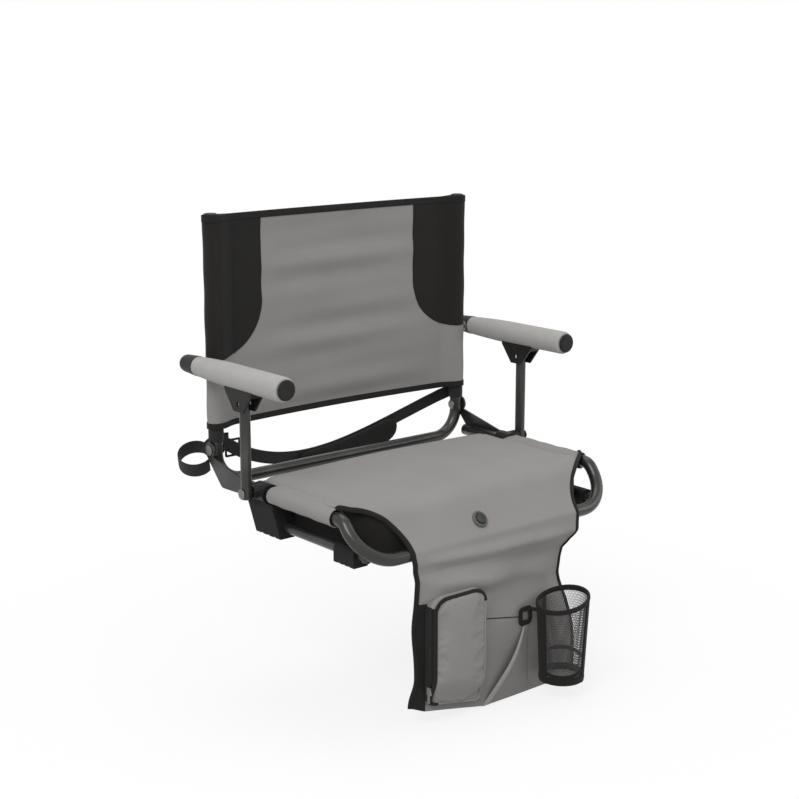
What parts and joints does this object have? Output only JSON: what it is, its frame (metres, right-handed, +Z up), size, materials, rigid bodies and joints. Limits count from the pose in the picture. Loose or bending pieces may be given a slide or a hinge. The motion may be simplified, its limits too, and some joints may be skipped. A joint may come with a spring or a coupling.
{
  "type": "folding heated stadium seat",
  "caption": "Folding heated bench seat: tube frame, padded seat, sling backrest, folding armrests, carrying strap and a pocket flap with a mesh cup holder",
  "frame": {"origin": "On the bench top, midway between the feet from side to side and below the padded seat, where the bench holds the seat up", "axes": "+X to the viewer's right as seen from the front (the sitter's left), +Y to the rear, the sitter faces -Y, +Z up"},
  "size_m": [0.5844, 0.5209, 0.708],
  "materials": {
    "frame_steel": "satin",
    "bright_steel": "satin",
    "black_plastic": "matte",
    "black_rubber": "matte",
    "grey_cloth": "matte",
    "black_cloth": "matte",
    "black_webbing": "matte",
    "heater_film": "matte",
    "foam": "matte",
    "arm_foam": "matte"
  },
  "bodies": {
    "seat": {"seat_frame": "frame_steel", "tube_plug_left": "black_plastic", "tube_plug_right": "black_plastic", "base_rail_left": "frame_steel", "base_rail_right": "frame_steel", "rear_foot_left": "black_rubber", "rear_foot_right": "black_rubber", "front_foot_left": "black_rubber", "front_foot_right": "black_rubber", "hinge_plate_left": "frame_steel", "hinge_plate_right": "frame_steel", "hinge_pin_left": "bright_steel", "hinge_pin_right": "bright_steel", "post_bracket_left": "black_plastic", "post_bracket_right": "black_plastic", "post_pin_left": "bright_steel", "post_pin_right": "bright_steel", "seat_cover": "grey_cloth", "seat_sleeve_left": "grey_cloth", "seat_sleeve_right": "grey_cloth", "heating_element": "heater_film", "seat_foam": "foam", "seat_bottom_cover": "black_cloth", "controller": "black_plastic", "button_bezel": "black_plastic"},
    "heat_button": {"heat_button": "black_plastic"},
    "flap": {"flap_panel": "grey_cloth", "zip_pocket": "grey_cloth", "zip_tape": "black_cloth", "middle_pocket": "grey_cloth", "pocket_tab": "black_cloth", "cup_mesh": "black_cloth", "cup_rim": "black_cloth", "cup_base": "grey_cloth"},
    "zip_slider": {"zip_slider": "bright_steel"},
    "back": {"back_frame": "frame_steel", "post_cap_left": "black_plastic", "post_cap_right": "black_plastic", "back_panel": "grey_cloth", "side_panel_left": "black_cloth", "side_panel_right": "black_cloth", "back_sleeve_left": "black_cloth", "back_sleeve_right": "black_cloth", "carry_strap": "black_webbing", "strap_pad": "black_cloth", "strap_tail": "black_webbing"},
    "arm_left": {"arm_bar_left": "frame_steel", "arm_pad_left": "arm_foam", "arm_front_cap_left": "black_plastic", "arm_rear_cap_left": "black_plastic", "arm_bracket_left": "black_plastic", "arm_pin_left": "bright_steel"},
    "arm_right": {"arm_bar_right": "frame_steel", "arm_pad_right": "arm_foam", "arm_front_cap_right": "black_plastic", "arm_rear_cap_right": "black_plastic", "arm_bracket_right": "black_plastic", "arm_pin_right": "bright_steel"},
    "post_left": {"arm_post_left": "frame_steel"},
    "post_right": {"arm_post_right": "frame_steel"}
  },
  "joints": [
    {"name": "back_fold", "type": "hinge", "parent": "seat", "child": "back", "pos_m": [0, 0.205, 0.107], "axis": [1, 0, 0], "range_deg": [0, 90]},
    {"name": "arm_left_pivot", "type": "hinge", "parent": "back", "child": "arm_left", "pos_m": [-0.2745, 0.205, 0.2405], "axis": [1, 0, 0], "range_deg": [-90, 0]},
    {"name": "arm_right_pivot", "type": "hinge", "parent": "back", "child": "arm_right", "pos_m": [0.2745, 0.205, 0.2405], "axis": [1, 0, 0], "range_deg": [-90, 0]},
    {"name": "post_left_pivot", "type": "hinge", "parent": "seat", "child": "post_left", "pos_m": [-0.2745, 0.08, 0.071], "axis": [1, 0, 0], "range_deg": [0, 90]},
    {"name": "post_right_pivot", "type": "hinge", "parent": "seat", "child": "post_right", "pos_m": [0.2745, 0.08, 0.071], "axis": [1, 0, 0], "range_deg": [0, 90]},
    {"name": "flap_swing", "type": "hinge", "parent": "seat", "child": "flap", "pos_m": [0, -0.152, 0.0116], "axis": [1, 0, 0], "range_deg": [-70, 75]},
    {"name": "heat_button_press", "type": "slide", "parent": "seat", "child": "heat_button", "axis": [0, 0.7771, -0.6293], "range_m": [0, 0.0012], "stiffness_N_per_m": 800},
    {"name": "zip_slide", "type": "slide", "parent": "flap", "child": "zip_slider", "axis": [0, 0, 1], "range_m": [0, 0.1]}
  ],
  "couplings": [
    {"joint": "arm_left_pivot", "follows": "back_fold", "ratio": -1},
    {"joint": "arm_right_pivot", "follows": "back_fold", "ratio": -1},
    {"joint": "post_left_pivot", "follows": "back_fold", "ratio": 1},
    {"joint": "post_right_pivot", "follows": "back_fold", "ratio": 1}
  ]
}
